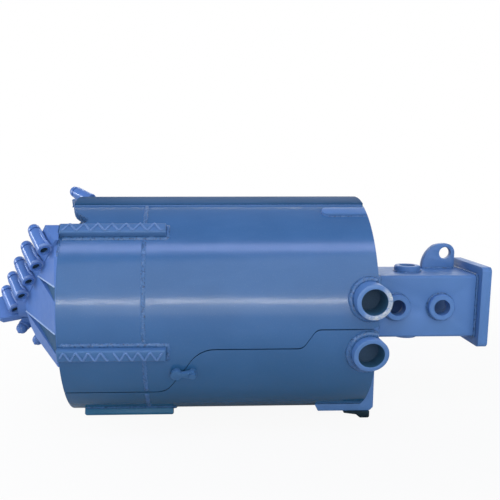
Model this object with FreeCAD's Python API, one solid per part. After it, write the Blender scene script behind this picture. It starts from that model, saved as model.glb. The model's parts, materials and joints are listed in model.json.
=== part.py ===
import FreeCAD, Part
import math
import os

from FreeCAD import Vector

# Split-shell rock drilling bucket, lying on its side, in millimetres.
# The model is drawn with x = 0 at the cutting rim and +x towards the drive head,
# y across and z up, then moved so that the origin is the centre of the drive pin bore.
# An angle round the shell is counted from the -y side (0) up towards +z (90).

# shell
shell_radius = 440.0
shell_wall = 20.0
shell_length = 1173.0
ring_length = 312.0
ring_wall = 30.0
seat_gap = 0.3

# split between the two half shells, seen from the side
split_z = -15.0
split_gap = 4.0
step_x = 962.0
step_drop = 73.0
step_radius = 34.0
step_slope = 56.0
sweep_x = 573.0
sweep_drop = 192.0
sweep_top_radius = 108.0
sweep_foot_radius = 68.0
sweep_slope = 56.0

# hinges
hinge_from_end = 33.0
upper_hinge_z = 93.0
lower_hinge_z = -107.0
opening_angle = 20.0
relief_start = 9.0
relief_margin = 3.0
pin_radius = 47.5
running_gap = 0.05
tube_radius = 65.0
mouth_proud = 48.0
pin_recess = 100.0
lower_mouth_tilt = 14.0
grease_hole_radius = 7.0
grease_hole_offset = 24.0
grease_hole_depth = 60.0

# drive head
cheek_inner = 100.0
cheek_thickness = 40.0
cheek_reach = 80.0
cheek_top = 175.0
cheek_bottom = -185.0
cheek_corner = 40.0
washer_thickness = 20.0
washer_radius = 64.0
head_plate_gap = 64.0
head_plate_thickness = 20.0
head_plate_margin = 2.0
web_thickness = 25.0
box_outer = 260.0
box_inner = 200.0
box_corner = 12.0
flange_gap = 492.5
flange_thickness = 40.0
flange_size = 334.0
flange_corner = 20.0
socket_lead = 8.0
bore_radius = 33.0
boss_radius = 54.0
boss_height = 25.0
boss_chamfer = 4.0
front_bore_gap = 156.0
bore_spacing = 183.5
upright_bore_gap = 237.0

# pin keepers
keeper_thickness = 10.0
keeper_width = 40.0
keeper_height = 58.0
keeper_slot_depth = 12.0
keeper_bolt_radius = 8.0
keeper_bolt_spacing = 64.0
keeper_bolt_head = 10.0
keeper_bolt_length = 26.0

# lifting lug
lug_thickness = 30.0
lug_y = 85.0
lug_start_gap = 327.0
lug_length = 141.0
lug_height = 109.0
lug_eye_radius = 26.0
lug_eye_rim = 42.0

# end plates
end_plate_thickness = 25.0
end_plate_inset = 20.0
end_cutout_half = 165.0
end_cutout_rise = 52.0

# crown strip, pad and wear strips
crown_thickness = 8.0
crown_start = 26.0
crown_from = 72.0
crown_to = 108.0
pad_angle = 63.0
pad_start = 995.0
pad_length = 171.0
pad_width = 46.0
pad_thickness = 12.0
strip_length = 394.0
lower_strip_start = 48.0
lower_strip_end = 408.0
strip_width = 46.0
strip_proud = 30.0
strip_chamfer = 5.0
upper_strip_angles = (48.0, -13.0, 132.0, 193.0)
lower_strip_angles = (-68.0, -112.0)

# rim notch in front of each arm
notch_angle = 66.0
notch_depth = 92.0
notch_lead = 12.0
notch_trail = 20.0

# cutting head
plate_depth = 30.0
head_slope = 0.5
head_start = -20.0
rim_lip = 4.0
lead_angle = 50.0
lead_fold_angle = 33.0
upper_web_angle = 19.0
upper_web_end = 12.0
lower_web_angle = -3.3
lower_web_end = -14.3
trail_angle = -20.8
ridge_radius = 255.0
ridge_angle = 36.0
heart_radius = 82.0
heart_angle = -12.0
hip_radius = 206.0
hip_angle = -31.0
tail_radius = 119.0
tail_angle = -45.0
hub_radius = 60.0
hub_proud = 30.0
bottom_plate_start = 5.0
bottom_plate_thickness = 20.0
bottom_clearance = 4.0
arm_angle = 46.0
arm_overhang = 20.0
ramp_length = 85.0
ramp_rise = 30.0
ramp_sink = 18.0
ramp_depth = 50.0
ramp_foot = 12.0
pilot_thickness = 36.0
pilot_half = 62.0
pilot_aside = 40.0
pilot_length = 155.0
recess_depth = 24.0
opening_inner = 120.0
flap_rim = 66.0
opening_half = 34.0

# teeth and their holders
near_teeth = 5
far_teeth = 4
row_inset = 28.0
row_end = 20.0
row_offset = -48.0
row_sink = 23.0
attack_angle = 27.0
holder_length = 100.0
holder_radius = 26.0
holder_bore = 15.0
shank_start = 42.0
tooth_length = 138.0
tooth_groove = 4.0
head_radius = 24.0
head_flat = 6.0
tip_radius = 9.0
tip_length = 6.0
gauge_angle = 97.0
gauge_start = 63.0
gauge_sink = 5.0
gauge_climb = 21.0
gauge_skew = 40.0

# spoil flaps
flap_thickness = 16.0
flap_lap = 14.0
flap_lap_angle = 3.0
flap_axis_height = 22.0
flap_pin_radius = 10.0
knuckle_radius = 20.0
flap_axis_offset = 24.0
flap_hinge_start = 140.0
flap_lug_thickness = 20.0
flap_knuckle_length = 76.0
flap_side_gap = 2.0

# alignment dogs across the split
dog_x = 429.0
dog_angle = -24.3
dog_head_radius = 21.0
dog_reach = 60.0
dog_thickness = 16.0
dog_pad = 8.0
dog_pivot_radius = 9.0
dog_cap = 6.0

# support under the drive end of the lower half
bracket_y = 200.0
bracket_thickness = 25.0
bracket_start = 983.0
bracket_overhang = 53.0
bracket_rise = 24.0
bracket_height = 184.0
bracket_slant = 16.0
bracket_corner = 14.0
foot_length = 106.0
foot_width = 40.0
foot_back = 16.0
foot_chamfer = 5.0

# worked out from the sizes above
hinge_x = shell_length - hinge_from_end
inner_radius = shell_radius - shell_wall
ring_inner = shell_radius - ring_wall
relief_slope = opening_angle + relief_margin
tube_mouth = shell_radius + mouth_proud
tube_bore = pin_radius + running_gap
head_plate_x = shell_length + head_plate_gap
box_x = head_plate_x + head_plate_thickness
flange_x = shell_length + flange_gap
front_bore_x = shell_length + front_bore_gap
drive_pin_x = front_bore_x + bore_spacing
upright_bore_x = shell_length + upright_bore_gap
cheek_outer = cheek_inner + cheek_thickness
box_half = 0.5 * box_outer
tube_inner = cheek_outer + washer_thickness + 2.0 * seat_gap
bottom_plate_back = bottom_plate_start + bottom_plate_thickness
flap_outer = ring_inner - flap_rim
arm_outer = shell_radius + arm_overhang
row_start = shell_radius - row_inset
row_pitch = (row_start - row_end) / (near_teeth - 1)
hub_front = head_start - head_slope * (shell_radius - hub_radius) - hub_proud
bracket_bottom = bracket_rise - shell_radius
bracket_top = bracket_bottom + bracket_height
big = 4.0 * shell_radius
strip_reach = shell_radius + strip_proud
strip_tilt = math.radians(90.0 + lower_strip_angles[0])
ground_z = -(strip_reach * math.cos(strip_tilt) + 0.5 * strip_width * math.sin(strip_tilt))

X_AXIS = Vector(1, 0, 0)
Y_AXIS = Vector(0, 1, 0)
Z_AXIS = Vector(0, 0, 1)
ORIGIN = Vector(0, 0, 0)


def around(radius, degrees, x=0.0):
    """a point on a circle round the x axis"""
    angle = math.radians(degrees)
    return Vector(x, -radius * math.cos(angle), radius * math.sin(angle))


def outward(degrees):
    return around(1.0, degrees)


def onward(degrees):
    """the direction of growing angle round the shell, which is the cutting direction"""
    angle = math.radians(degrees)
    return Vector(0, math.sin(angle), math.cos(angle))


def turned(shape, degrees):
    """a shape drawn on the -y side, turned up round the x axis"""
    copy = shape.copy()
    copy.rotate(ORIGIN, X_AXIS, -degrees)
    return copy


def half_turned(shape):
    return turned(shape, 180.0)


def mirrored(shape):
    """the same shape on the other side of the xz plane"""
    return shape.mirror(ORIGIN, Y_AXIS)


def block(x0, x1, y0, y1, z0, z1):
    return Part.makeBox(x1 - x0, y1 - y0, z1 - z0, Vector(x0, y0, z0))


def rod(radius, start, end):
    axis = end - start
    return Part.makeCylinder(radius, axis.Length, start, axis)


def pipe(outer, inner, start, end):
    return rod(outer, start, end).cut(rod(inner, start, end))


def prism(points, direction):
    """a flat outline pushed along a direction; a point may also be a pair (middle, end) of an arc"""
    edges = []
    start = points[0]
    here = start
    for point in list(points[1:]) + [start]:
        if isinstance(point, tuple):
            edges.append(Part.Arc(here, point[0], point[1]).toShape())
            here = point[1]
        elif point.distanceToPoint(here) > 1e-6:
            edges.append(Part.LineSegment(here, point).toShape())
            here = point
    return Part.Face(Part.Wire(edges)).extrude(direction)


def rolled(inner, outer, start_angle, end_angle, x0, x1):
    """a plate rolled to the shell: a sector of a ring"""
    middle = 0.5 * (start_angle + end_angle)
    outline = [
        around(inner, start_angle, x0),
        around(outer, start_angle, x0),
        (around(outer, middle, x0), around(outer, end_angle, x0)),
        around(inner, end_angle, x0),
        (around(inner, middle, x0), around(inner, start_angle, x0)),
    ]
    return prism(outline, Vector(x1 - x0, 0, 0))


def chamfered(shape, size, chosen):
    edges = [edge for edge in shape.Edges if chosen(edge)]
    return shape.makeChamfer(size, edges) if edges else shape


def largest(shape):
    return max(shape.Solids, key=lambda solid: solid.Volume)


def save(name, *shapes):
    solids = []
    for shape in shapes:
        solids.extend(shape.Solids)
    compound = Part.makeCompound(solids) if len(solids) > 1 else solids[0]
    compound.translate(Vector(-drive_pin_x, 0, 0))
    compound.exportStep("parts/" + name + ".step")


# the split line, drawn in the xz plane and pushed across the shell
def step_down(x, z, drop, top_radius, foot_radius, slope):
    """an S bend going down towards -x: an arc, a straight run and the opposite arc"""
    turn = math.radians(slope)
    sag = 1.0 - math.cos(turn)
    half_sag = 1.0 - math.cos(0.5 * turn)
    run = math.sin(turn)
    half_run = math.sin(0.5 * turn)
    straight = drop - (top_radius + foot_radius) * sag
    first = Vector(x - top_radius * run, -big, z - top_radius * sag)
    second = Vector(first.x - straight / math.tan(turn), -big, first.z - straight)
    last = Vector(second.x - foot_radius * run, -big, z - drop)
    return [
        Vector(x, -big, z),
        (Vector(x - top_radius * half_run, -big, z - top_radius * half_sag), first),
        second,
        (Vector(last.x + foot_radius * half_run, -big, last.z + foot_radius * half_sag), last),
    ]


def below_split(shift, relief_sign):
    """everything under the split line; the relief at the hinge end lets the halves swing"""
    z = split_z + shift
    end_x = shell_length + hinge_from_end
    relief_x = hinge_x + relief_start
    relief = relief_sign * (end_x - relief_x) * math.tan(math.radians(relief_slope))
    outline = [Vector(end_x, -big, -big), Vector(end_x, -big, z + relief), Vector(relief_x, -big, z)]
    outline += step_down(step_x, z, step_drop, step_radius, step_radius, step_slope)
    outline += step_down(sweep_x, z - step_drop, sweep_drop, sweep_top_radius, sweep_foot_radius, sweep_slope)
    outline += [Vector(-big, -big, z - step_drop - sweep_drop), Vector(-big, -big, -big)]
    return prism(outline, Vector(0, 2.0 * big, 0))


under_upper = below_split(0.0, 1.0)
under_lower = below_split(-split_gap, -1.0)


def upper_part(shape):
    return shape.cut(under_upper)


def lower_part(shape):
    return shape.common(under_lower)


def hinge_axis(z, half_length):
    return Vector(hinge_x, -half_length, z), Vector(hinge_x, half_length, z)


def tube_space(z):
    """room in the shell for the two hinge tubes of one half"""
    start, end = hinge_axis(z, big)
    return rod(tube_radius + seat_gap, start, end)


# shell walls
def rim_notch():
    """the scooped notch in the rim, ahead of an arm"""
    radial = outward(notch_angle)
    along = onward(notch_angle)

    def at(x, degrees):
        aside = shell_radius * math.sin(math.radians(degrees))
        return radial * (shell_radius - 1.6 * ring_wall) + along * aside + Vector(x, 0, 0)

    outline = [
        at(-ring_wall, -notch_lead),
        at(0.68 * notch_depth, -notch_lead),
        (at(0.94 * notch_depth, -0.89 * notch_lead), at(notch_depth, -0.63 * notch_lead)),
        (at(0.66 * notch_depth, -0.38 * notch_lead), at(0.42 * notch_depth, -0.08 * notch_lead)),
        (at(0.28 * notch_depth, 0.35 * notch_trail), at(0.12 * notch_depth, 0.85 * notch_trail)),
        at(-ring_wall, notch_trail),
    ]
    return prism(outline, radial * (3.0 * ring_wall))


def shell_parts():
    wall = pipe(shell_radius, inner_radius, Vector(ring_length, 0, 0), Vector(shell_length, 0, 0))
    ring = pipe(shell_radius, ring_inner, ORIGIN, Vector(ring_length, 0, 0))
    notch = rim_notch()
    for cut in (notch, mirrored(notch), half_turned(notch), gauge_space()):
        ring = ring.cut(cut)
    wall = wall.cut(tube_space(upper_hinge_z)).cut(tube_space(lower_hinge_z))
    save("upper_shell_wall", largest(upper_part(wall)))
    save("lower_shell_wall", largest(lower_part(wall)))
    save("upper_cutting_ring", largest(upper_part(ring)))
    save("lower_cutting_ring", largest(lower_part(ring)))


def crown_and_pad():
    crown = rolled(shell_radius + seat_gap, shell_radius + crown_thickness,
                   crown_from, crown_to, crown_start, shell_length)
    save("crown_strip", crown.cut(gauge_space()))
    half = 0.5 * pad_width
    outline = [
        Vector(pad_start + half, -big, -half),
        Vector(pad_start + pad_length, -big, -half),
        Vector(pad_start + pad_length, -big, half),
        Vector(pad_start + half, -big, half),
        (Vector(pad_start, -big, 0), Vector(pad_start + half, -big, -half)),
    ]
    pad = prism(outline, Vector(0, big, 0))
    shell = pipe(shell_radius + pad_thickness, shell_radius + seat_gap, ORIGIN, Vector(shell_length, 0, 0))
    save("upper_pad", turned(pad.common(shell), pad_angle))


def wear_strip(angle, start, end):
    half = 0.5 * strip_width
    bar = block(start, end, -strip_reach, -shell_radius + 10.0, -half, half)
    bar = chamfered(bar, strip_chamfer, lambda edge: edge.BoundBox.YMax < -strip_reach + 1.0)
    bar = bar.cut(rod(shell_radius + seat_gap, Vector(start - 1.0, 0, 0), Vector(end + 1.0, 0, 0)))
    return turned(bar, angle)


def wear_strips():
    save("upper_wear_strips", *[wear_strip(angle, 0.0, strip_length) for angle in upper_strip_angles])
    notch = half_turned(rim_notch())
    lower = [wear_strip(angle, lower_strip_start, lower_strip_end) for angle in lower_strip_angles]
    save("lower_wear_strips", *[largest(strip.cut(notch)) for strip in lower])


# hinges
def hinge_tube(z, tilt):
    tube = pipe(tube_radius, tube_bore, Vector(hinge_x, -tube_mouth, z), Vector(hinge_x, -tube_inner, z))
    if tilt:
        lean = math.tan(math.radians(tilt))
        wedge = [
            Vector(hinge_x - big, -tube_mouth, z + tube_radius),
            Vector(hinge_x - big, -tube_mouth + 2.0 * tube_radius * lean, z - tube_radius),
            Vector(hinge_x - big, -tube_mouth, z - tube_radius),
        ]
        tube = tube.cut(prism(wedge, Vector(2.0 * big, 0, 0)))
    return tube


def hinge_pin(z):
    half = tube_mouth - pin_recess
    start, end = hinge_axis(z, half)
    pin = rod(pin_radius, start, end)
    for side in (-1.0, 1.0):
        mouth = Vector(hinge_x - 0.7 * grease_hole_offset, side * half, z + 0.7 * grease_hole_offset)
        pin = pin.cut(rod(grease_hole_radius, mouth, mouth - Vector(0, side * grease_hole_depth, 0)))
        slot_y = side * (cheek_inner - 0.5 * keeper_thickness - seat_gap)
        slot_half = 0.5 * keeper_thickness + seat_gap
        floor_z = z + math.copysign(pin_radius - keeper_slot_depth, z)
        far_z = z + math.copysign(big, z)
        pin = pin.cut(block(hinge_x - big, hinge_x + big, slot_y - slot_half, slot_y + slot_half,
                            min(floor_z, far_z), max(floor_z, far_z)))
    return pin


def hinges():
    for name, z, tilt in (("upper", upper_hinge_z, 0.0), ("lower", lower_hinge_z, lower_mouth_tilt)):
        tube = hinge_tube(z, tilt)
        save(name + "_hinge_tubes", tube, mirrored(tube))
        save(name + "_hinge_pin", hinge_pin(z))


def thrust_washers():
    washers = []
    for z in (upper_hinge_z, lower_hinge_z):
        start = Vector(hinge_x, -cheek_outer - seat_gap - washer_thickness, z)
        washer = pipe(washer_radius, tube_bore, start, Vector(hinge_x, -cheek_outer - seat_gap, z))
        washers += [washer, mirrored(washer)]
    save("thrust_washers", *washers)


# a keeper plate stands in a slot of each pin, against the inner face of the cheek
def keeper_levels(z):
    """heights of a keeper's seat in its pin, of its outer edge and of its bolts"""
    away = math.copysign(1.0, z)
    low = z + away * (pin_radius - keeper_slot_depth + seat_gap)
    high = low + away * keeper_height
    return low, high, high - away * 0.35 * keeper_width


def pin_keepers():
    plates = []
    bolts = []
    for z in (upper_hinge_z, lower_hinge_z):
        low, high, bolt_z = keeper_levels(z)
        y1 = -cheek_inner + keeper_thickness + seat_gap
        y0 = -cheek_inner + seat_gap
        half = 0.5 * (keeper_bolt_spacing + keeper_width)
        plate = block(hinge_x - half, hinge_x + half, y0, y1, min(low, high), max(low, high))
        for side in (-1.0, 1.0):
            x = hinge_x + side * 0.5 * keeper_bolt_spacing
            shank = rod(keeper_bolt_radius, Vector(x, y1 + seat_gap, bolt_z),
                        Vector(x, y1 - keeper_bolt_length, bolt_z))
            head = hexagon(x, bolt_z, 1.7 * keeper_bolt_radius, y1 + seat_gap, keeper_bolt_head)
            bolt = shank.fuse(head)
            plate = plate.cut(bolt_hole(x, bolt_z))
            bolts += [bolt, mirrored(bolt)]
        plates += [plate, mirrored(plate)]
    save("pin_keepers", *plates)
    save("keeper_bolts", *bolts)


def hexagon(x, z, radius, y, height):
    corners = [Vector(x + radius * math.cos(math.radians(60.0 * k)), y,
                      z + radius * math.sin(math.radians(60.0 * k))) for k in range(6)]
    return prism(corners, Vector(0, height, 0))


def bolt_hole(x, z):
    return rod(keeper_bolt_radius + seat_gap, Vector(x, -cheek_outer, z), Vector(x, -0.5 * cheek_inner, z))


# drive head
def cheek():
    x0 = hinge_x - cheek_reach
    r = cheek_corner
    k = r * (1.0 - math.sqrt(0.5))
    z0, z1 = cheek_bottom, cheek_top
    flat = head_plate_x
    outline = [
        Vector(x0 + r, -cheek_outer, z0),
        Vector(flat - r, -cheek_outer, z0),
        Vector(flat, -cheek_outer, -box_half),
        Vector(flat, -cheek_outer, box_half),
        Vector(flat - r, -cheek_outer, z1),
        Vector(x0 + r, -cheek_outer, z1),
        (Vector(x0 + k, -cheek_outer, z1 - k), Vector(x0, -cheek_outer, z1 - r)),
        Vector(x0, -cheek_outer, z0 + r),
        (Vector(x0 + k, -cheek_outer, z0 + k), Vector(x0 + r, -cheek_outer, z0)),
    ]
    plate = prism(outline, Vector(0, cheek_thickness, 0))
    for z in (upper_hinge_z, lower_hinge_z):
        start, end = hinge_axis(z, big)
        plate = plate.cut(rod(tube_bore, start, end))
        bolt_z = keeper_levels(z)[2]
        for side in (-1.0, 1.0):
            x = hinge_x + side * 0.5 * keeper_bolt_spacing
            depth = keeper_bolt_length - keeper_thickness + 2.0
            hole = rod(keeper_bolt_radius + seat_gap, Vector(x, -cheek_inner + 1.0, bolt_z),
                       Vector(x, -cheek_inner - depth, bolt_z))
            plate = plate.cut(hole)
    return plate


def drive_head():
    plate = cheek()
    save("cheek_plates", plate, mirrored(plate))
    half = box_half
    inside = 0.5 * box_inner
    head_half = cheek_outer + head_plate_margin
    save("head_plate", block(head_plate_x, box_x, -head_half, head_half, -half, half))
    web_x0 = hinge_x + pin_radius + 8.0
    webs = [block(web_x0, head_plate_x, -cheek_inner, cheek_inner, z - 0.5 * web_thickness,
                  z + 0.5 * web_thickness) for z in (0.5 * box_inner, -0.5 * box_inner)]
    save("head_webs", *webs)

    box = block(box_x, flange_x, -half, half, -half, half)
    box = box.makeFillet(box_corner, [edge for edge in box.Edges if edge.BoundBox.XLength > box_half])
    box = box.cut(block(box_x - 1.0, flange_x + 1.0, -inside, inside, -inside, inside))
    bosses = []
    for x in (front_bore_x, drive_pin_x):
        box = box.cut(rod(bore_radius, Vector(x, -big, 0), Vector(x, big, 0)))
        bosses.append(pin_boss(Vector(x, -half, 0), Vector(0, -1, 0)))
        bosses.append(pin_boss(Vector(x, half, 0), Vector(0, 1, 0)))
    box = box.cut(rod(bore_radius, Vector(upright_bore_x, 0, -big), Vector(upright_bore_x, 0, big)))
    bosses.append(pin_boss(Vector(upright_bore_x, 0, half), Vector(0, 0, 1)))
    bosses.append(pin_boss(Vector(upright_bore_x, 0, -half), Vector(0, 0, -1)))
    save("drive_box", box)
    save("pin_bosses", *bosses)

    wide = 0.5 * flange_size
    flange = block(flange_x, flange_x + flange_thickness, -wide, wide, -wide, wide)
    flange = flange.makeFillet(flange_corner, [edge for edge in flange.Edges if edge.BoundBox.XLength > seat_gap])
    flange = flange.cut(block(flange_x - 1.0, flange_x + big, -inside, inside, -inside, inside))
    lead = Part.makeLoft([square(inside, flange_x + flange_thickness - socket_lead),
                          square(inside + socket_lead, flange_x + flange_thickness)], True)
    save("drive_flange", flange.cut(lead))


def square(half, x):
    corners = [Vector(x, -half, -half), Vector(x, half, -half), Vector(x, half, half), Vector(x, -half, half)]
    return Part.makePolygon(corners + corners[:1])


def pin_boss(seat, direction):
    boss = rod(boss_radius, seat, seat + direction * boss_height)
    boss = boss.makeChamfer(boss_chamfer, [edge for edge in boss.Edges if on_face(edge, seat, direction)])
    return boss.cut(rod(bore_radius, seat - direction, seat + direction * (boss_height + 1.0)))


def on_face(edge, seat, direction):
    """the round edge on a boss's outer face"""
    if len(edge.Vertexes) > 1:
        return False
    return (edge.CenterOfMass - seat).dot(direction) > 0.9 * boss_height


def lifting_lug():
    base = box_half
    x0 = shell_length + lug_start_gap
    x1 = x0 + lug_length
    eye = Vector(x1 - lug_eye_rim, lug_y - 0.5 * lug_thickness, base + lug_height - lug_eye_rim)

    def at(x, z):
        return Vector(x, eye.y, z)

    k = lug_eye_rim * math.sqrt(0.5)
    lean = 0.36 * lug_length
    outline = [
        at(x0, base),
        (at(x0 + 0.12 * lug_length, base + 0.62 * lug_height), at(x0 + lean, base + 0.93 * lug_height)),
        (at(eye.x - 0.45 * lug_eye_rim, base + 0.99 * lug_height), at(eye.x, base + lug_height)),
        (at(eye.x + k, eye.z + k), at(x1, eye.z)),
        at(x1, base),
    ]
    lug = prism(outline, Vector(0, lug_thickness, 0))
    lug = lug.cut(rod(lug_eye_radius, eye - Y_AXIS, eye + Vector(0, lug_thickness + 1.0, 0)))
    save("lifting_lug", lug)


# end plates stand inside the shell at the hinge end and rest on the hinge tubes
def end_plates():
    x1 = shell_length - end_plate_inset
    x0 = x1 - end_plate_thickness
    disc = rod(inner_radius - seat_gap, Vector(x0, 0, 0), Vector(x1, 0, 0))
    for name, z, away in (("upper", upper_hinge_z, 1.0), ("lower", lower_hinge_z, -1.0)):
        keep_z = (z, big) if away > 0 else (-big, z)
        plate = disc.common(block(x0, x1, -big, big, keep_z[0], keep_z[1]))
        plate = plate.cut(tube_space(z))
        edge_z = (cheek_top if away > 0 else cheek_bottom) + away * end_cutout_rise
        room = block(x0 - 1.0, x1 + 1.0, -end_cutout_half, end_cutout_half,
                     min(z - away * big, edge_z), max(z - away * big, edge_z))
        plate = plate.cut(room)
        save(name + "_end_plate", largest(plate))


# cutting head: a low faceted cone of thick plates, with two open quarters ahead of the arms
def cone_x(radius):
    return head_start - head_slope * (shell_radius - radius)


def cone_point(radius, degrees, lift=0.0):
    """a corner of the head plates; along the rim they come down to a thin lip away from the arm"""
    if radius < shell_radius:
        return around(radius, degrees, cone_x(radius) + lift)
    share = min(1.0, max(0.0, (degrees - upper_web_angle) / (arm_angle - upper_web_angle)))
    return around(radius, degrees, -rim_lip - (-head_start - rim_lip) * share + min(lift, 0.5 * rim_lip))


def facet(corners, lift=0.0):
    points = [cone_point(radius, degrees, lift) for radius, degrees in corners]
    return prism(points, Vector(plate_depth, 0, 0))


def joined(solids):
    shape = solids[0]
    for other in solids[1:]:
        shape = shape.fuse(other)
    return shape.removeSplitter()


def head_plates(holders):
    rim = shell_radius
    ridge = (ridge_radius, ridge_angle)
    heart = (heart_radius, heart_angle)
    hip = (hip_radius, hip_angle)
    lead = (0.8 * hub_radius, lead_angle)
    tail = (tail_radius, tail_angle)
    leading = joined([facet([(rim, lead_angle), lead, ridge]),
                      facet([(rim, lead_angle), ridge, (rim, lead_fold_angle)]),
                      facet([(rim, lead_fold_angle), ridge, (rim, upper_web_angle)])])
    middle = joined([facet([ridge, (rim, upper_web_end), (rim, lower_web_angle)]),
                     facet([ridge, (rim, lower_web_angle), heart]),
                     facet([ridge, heart, lead])])
    trailing = joined([facet([heart, (rim, lower_web_end), (rim, trail_angle)]),
                       facet([heart, (rim, trail_angle), hip]),
                       facet([heart, hip, tail]),
                       facet([heart, tail, lead])])
    upper_web = facet([ridge, (rim, upper_web_angle), (rim, upper_web_end)], recess_depth)
    lower_web = facet([heart, (rim, lower_web_angle), (rim, lower_web_end)], recess_depth)
    ring_face = rod(big, ORIGIN, Vector(2.0 * plate_depth, 0, 0))
    hub = rod(hub_radius, Vector(hub_front, 0, 0), Vector(2.0 * plate_depth, 0, 0))
    plates = []
    for plate in (leading, middle, trailing, upper_web, lower_web):
        plate = plate.cut(hub).cut(ring_face)
        for holder in holders:
            plate = plate.cut(holder)
        plates.append(largest(plate))
    return plates


def arm_bar(plates, holders):
    """the ramp that carries the tooth holders: a wedge on the head plates, as steep as the teeth"""
    outer, way = row_point(arm_outer)
    inner = row_point(hub_radius)[0]
    rise = outward(arm_angle).cross(onward(arm_angle)) * math.cos(math.radians(attack_angle))
    rise -= onward(arm_angle) * math.sin(math.radians(attack_angle))
    foot = X_AXIS * ramp_foot
    corners = [
        outer - rise * holder_radius + foot,
        outer - rise * holder_radius,
        outer + way * ramp_rise - rise * ramp_sink,
        outer + way * ramp_length - rise * ramp_sink,
        outer + way * ramp_length - rise * ramp_sink + X_AXIS * ramp_depth,
    ]
    bar = prism(corners, inner - outer)
    bar = bar.cut(rod(hub_radius, Vector(hub_front, 0, 0), ORIGIN))
    for other in list(plates) + list(holders):
        bar = bar.cut(other)
    return largest(bar)


def row_point(radius):
    """rear end and direction of a tooth on the arm"""
    rear = around(radius, arm_angle, cone_x(radius) - row_sink) + onward(arm_angle) * row_offset
    attack = math.radians(attack_angle)
    way = onward(arm_angle) * math.cos(attack) - X_AXIS * math.sin(attack)
    return rear, way


def tooth_place(index):
    return row_point(row_start - row_pitch * index)


def gauge_place():
    rear = around(shell_radius - gauge_sink, gauge_angle, gauge_start)
    climb = math.radians(gauge_climb)
    skew = math.radians(gauge_skew)
    flat = onward(gauge_angle) * math.sin(skew) - X_AXIS * math.cos(skew)
    return rear, flat * math.cos(climb) + outward(gauge_angle) * math.sin(climb)


def placed(shape, rear, way):
    """a shape turned about z in its own frame, stood along a direction"""
    copy = shape.copy()
    copy.Placement = FreeCAD.Placement(rear, FreeCAD.Rotation(Z_AXIS, way))
    return copy


def revolved(profile):
    points = [Vector(radius, 0, height) for radius, height in profile]
    outline = Part.makePolygon(points + points[:1])
    return Part.Face(outline).revolve(ORIGIN, Z_AXIS, 360.0)


def holder_sleeve():
    chamfer = 3.0
    outline = [
        (holder_bore, 0.0),
        (holder_radius - chamfer, 0.0),
        (holder_radius, chamfer),
        (holder_radius, holder_length - chamfer),
        (holder_radius - chamfer, holder_length),
        (holder_bore, holder_length),
    ]
    return revolved(outline)


def holder_space():
    return Part.makeCylinder(holder_radius, holder_length, ORIGIN, Z_AXIS)


def gauge_space():
    """the cut in rim and crown that the gauge tooth's holder is welded into"""
    rear, way = gauge_place()
    space = Part.makeCylinder(holder_radius + seat_gap, holder_length, ORIGIN, Z_AXIS)
    return placed(space, rear, way)


def bullet_tooth():
    """a round-shank tooth with a groove, a domed head and a hard button at its tip"""
    shank = holder_bore - running_gap
    collar = holder_length + seat_gap
    head = collar + tooth_groove
    tip = tooth_length - tip_length
    dome = tip - head - head_flat
    outline = [
        (0.0, shank_start),
        (shank - 3.0, shank_start),
        (shank, shank_start + 3.0),
        (shank, collar),
        (head_radius - tooth_groove, collar),
        (head_radius - tooth_groove, head),
        (head_radius, head),
    ]
    for step in range(6):
        turn = math.radians(90.0 * step / 6.0)
        radius = tip_radius + (head_radius - tip_radius) * math.cos(turn)
        outline.append((radius, head + head_flat + dome * math.sin(turn)))
    outline += [(tip_radius, tip), (0.0, tip)]
    point = [
        (0.0, tip),
        (tip_radius, tip),
        (0.8 * tip_radius, tip + 0.5 * tip_length),
        (0.35 * tip_radius, tooth_length),
        (0.0, tooth_length),
    ]
    return revolved(outline), revolved(point)


def cutting_head():
    places = [tooth_place(index) for index in range(near_teeth)]
    sleeve = holder_sleeve()
    spaces = [placed(holder_space(), rear, way) for rear, way in places]
    plates = head_plates(spaces)
    far_plates = head_plates(spaces[:far_teeth])
    holders = [placed(sleeve, rear, way) for rear, way in places]
    save("head_plates_near", *plates)
    save("head_plates_far", *[half_turned(plate) for plate in far_plates])
    save("arm_bar_near", arm_bar(plates, spaces))
    save("arm_bar_far", half_turned(arm_bar(far_plates, spaces[:far_teeth])))
    save("tooth_holders_near", *holders)
    save("tooth_holders_far", *[half_turned(holder) for holder in holders[:far_teeth]])

    hub = rod(hub_radius, Vector(hub_front, 0, 0), Vector(bottom_plate_start, 0, 0))
    for space in spaces:
        hub = hub.cut(space)
    for space in spaces[:far_teeth]:
        hub = hub.cut(half_turned(space))
    save("centre_hub", largest(hub))

    tooth, tip = bullet_tooth()
    for index, (rear, way) in enumerate(places):
        pieces = [placed(tooth, rear, way), placed(tip, rear, way)]
        save("tooth_near_%d" % (index + 1), *pieces)
        if index < far_teeth:
            save("tooth_far_%d" % (index + 1), *[half_turned(piece) for piece in pieces])
    rear, way = gauge_place()
    save("gauge_tooth", placed(tooth, rear, way), placed(tip, rear, way))
    save("gauge_holder", placed(sleeve, rear, way))


def pilot_plate():
    """the fishtail pilot stands on the hub, beside the innermost tooth"""
    arm = outward(arm_angle)
    across = onward(arm_angle)

    def at(x, width):
        return Vector(hub_front + x, 0, 0) + across * width - arm * (pilot_aside + 0.5 * pilot_thickness)

    base = math.sqrt(hub_radius ** 2 - pilot_aside ** 2)
    outline = [
        at(0.0, -base),
        at(0.0, base),
        at(-0.5 * pilot_length, pilot_half),
        at(-0.82 * pilot_length, 0.6 * pilot_half),
        at(-pilot_length, 0.0),
        at(-0.82 * pilot_length, -0.6 * pilot_half),
        at(-0.5 * pilot_length, -pilot_half),
    ]
    save("pilot_plate", prism(outline, arm * pilot_thickness))


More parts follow.
